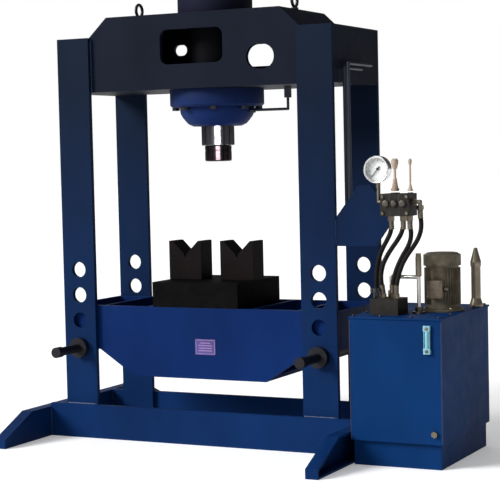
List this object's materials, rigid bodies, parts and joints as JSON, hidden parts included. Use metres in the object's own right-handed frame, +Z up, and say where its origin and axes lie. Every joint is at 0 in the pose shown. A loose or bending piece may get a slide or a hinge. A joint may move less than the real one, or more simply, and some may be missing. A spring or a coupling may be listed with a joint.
{
  "type": "hydraulic shop press",
  "caption": "Free-standing hydraulic press: twin-plate frame, crown with ram cylinder, movable bed on pins with V-blocks, and an oil tank with motor and lever valve at the side.",
  "frame": {"origin": "centre of the machine's footprint, on the floor", "axes": "+Z up, +X to the operator's right (the power pack's side), +Y to the back"},
  "size_m": [2.325, 1.78, 2.375],
  "materials": {
    "blue_paint": "royal blue enamel over steel plate, semi-gloss",
    "black_steel": "blackened tool steel",
    "dark_iron": "dark oiled steel",
    "plate_aluminium": null,
    "bright_steel": "machined steel",
    "ram_chrome": "hard chrome",
    "seal_rubber": "black rubber",
    "hose_rubber": "black hydraulic hose cover",
    "valve_iron": "phosphated cast iron",
    "pale_plastic": "pale grip",
    "zinc_steel": "zinc plated steel",
    "case_steel": "bright steel case",
    "dial_white": "white dial with plain marks",
    "needle_black": "black",
    "lens_glass": "clear",
    "sight_plastic": "clear sight glass with a pale background",
    "motor_paint": "grey brown enamel",
    "rotor_steel": "machined steel",
    "pump_aluminium": "cast aluminium",
    "knob_plastic": "black",
    "filler_metal": "grey zinc plated metal"
  },
  "bodies": {
    "frame": {"upright_front_left": "blue_paint", "upright_front_right": "blue_paint", "upright_rear_left": "blue_paint", "upright_rear_right": "blue_paint", "crown_front_plate": "blue_paint", "crown_rear_plate": "blue_paint", "crown_top_plate": "blue_paint", "crown_bottom_plate": "blue_paint", "crown_cheek_left": "blue_paint", "crown_cheek_right": "blue_paint", "lifting_eyebolts": "dark_iron", "base_beam_front": "blue_paint", "base_beam_rear": "blue_paint", "foot_left": "blue_paint", "foot_right": "blue_paint", "cylinder_barrel": "blue_paint", "cylinder_flange": "blue_paint", "cylinder_gland": "blue_paint", "cylinder_head": "blue_paint", "cylinder_bolts": "dark_iron", "rod_wiper": "seal_rubber", "rigid_pipes": "bright_steel", "valve_bracket": "blue_paint", "valve_body": "valve_iron", "hydraulic_fittings": "zinc_steel", "gauge_case": "case_steel", "gauge_dial": "dial_white", "gauge_lens": "lens_glass", "tank": "blue_paint", "tank_lid": "blue_paint", "level_gauge": "sight_plastic", "motor_body": "motor_paint", "motor_fan_cover": "motor_paint", "pump": "pump_aluminium", "manifold": "valve_iron", "filler_neck": "filler_metal", "hose_supply": "hose_rubber", "hose_lift": "hose_rubber", "hose_return": "hose_rubber", "hose_drain": "hose_rubber"},
    "ram": {"piston": "bright_steel", "ram_rod": "ram_chrome", "ram_nose": "black_steel"},
    "bed": {"bed_front_plate": "blue_paint", "bed_rear_plate": "blue_paint", "bed_cross_members": "blue_paint", "bed_seats": "bright_steel", "bed_nameplate": "plate_aluminium", "bolster_block": "black_steel"},
    "v_left": {"v_block_left": "black_steel"},
    "v_right": {"v_block_right": "black_steel"},
    "pin_left": {"support_pin_left": "dark_iron"},
    "pin_right": {"support_pin_right": "dark_iron"},
    "lever": {"valve_lever": "bright_steel", "lever_knob": "pale_plastic"},
    "slim_lever": {"approach_lever": "pale_plastic"},
    "needle": {"gauge_needle": "needle_black"},
    "rotor": {"motor_rotor": "rotor_steel"},
    "relief": {"relief_knob": "knob_plastic"},
    "cap": {"filler_cap": "filler_metal"}
  },
  "joints": [
    {"name": "ram_travel", "type": "slide", "parent": "frame", "child": "ram", "axis": [0, 0, -1], "range_m": [-0.09, 0.25]},
    {"name": "bed_lift", "type": "slide", "parent": "frame", "child": "bed", "axis": [0, 0, 1], "range_m": [0, 0.133]},
    {"name": "v_block_left_slide", "type": "slide", "parent": "bed", "child": "v_left", "axis": [1, 0, 0], "range_m": [0, 0.04]},
    {"name": "v_block_right_slide", "type": "slide", "parent": "bed", "child": "v_right", "axis": [-1, 0, 0], "range_m": [0, 0.04]},
    {"name": "pin_left_pull", "type": "slide", "parent": "frame", "child": "pin_left", "axis": [0, -1, 0], "range_m": [0, 0.64]},
    {"name": "pin_right_pull", "type": "slide", "parent": "frame", "child": "pin_right", "axis": [0, -1, 0], "range_m": [0, 0.64]},
    {"name": "valve_lever_tilt", "type": "hinge", "parent": "frame", "child": "lever", "pos_m": [0.8775, -0.346, 1.284], "axis": [1, 0, 0], "range_deg": [-20, 20], "stiffness_Nm_per_rad": 3},
    {"name": "slim_lever_tilt", "type": "hinge", "parent": "frame", "child": "slim_lever", "pos_m": [0.9535, -0.346, 1.28], "axis": [1, 0, 0], "range_deg": [-15, 15], "stiffness_Nm_per_rad": 2},
    {"name": "gauge_needle_turn", "type": "hinge", "parent": "frame", "child": "needle", "pos_m": [0.7755, -0.304, 1.38], "axis": [0, 1, 0], "range_deg": [0, 270], "stiffness_Nm_per_rad": 0.002},
    {"name": "motor_spin", "type": "hinge", "parent": "frame", "child": "rotor", "pos_m": [1.0415, -0.17, 0.8], "axis": [0, 0, 1], "continuous": true},
    {"name": "relief_knob_turn", "type": "hinge", "parent": "frame", "child": "relief", "pos_m": [0.7965, -0.421, 0.79], "axis": [0, 0, 1], "range_deg": [0, 270]},
    {"name": "filler_cap_lift", "type": "slide", "parent": "frame", "child": "cap", "axis": [0, 0, 1], "range_m": [0, 0.12]}
  ]
}
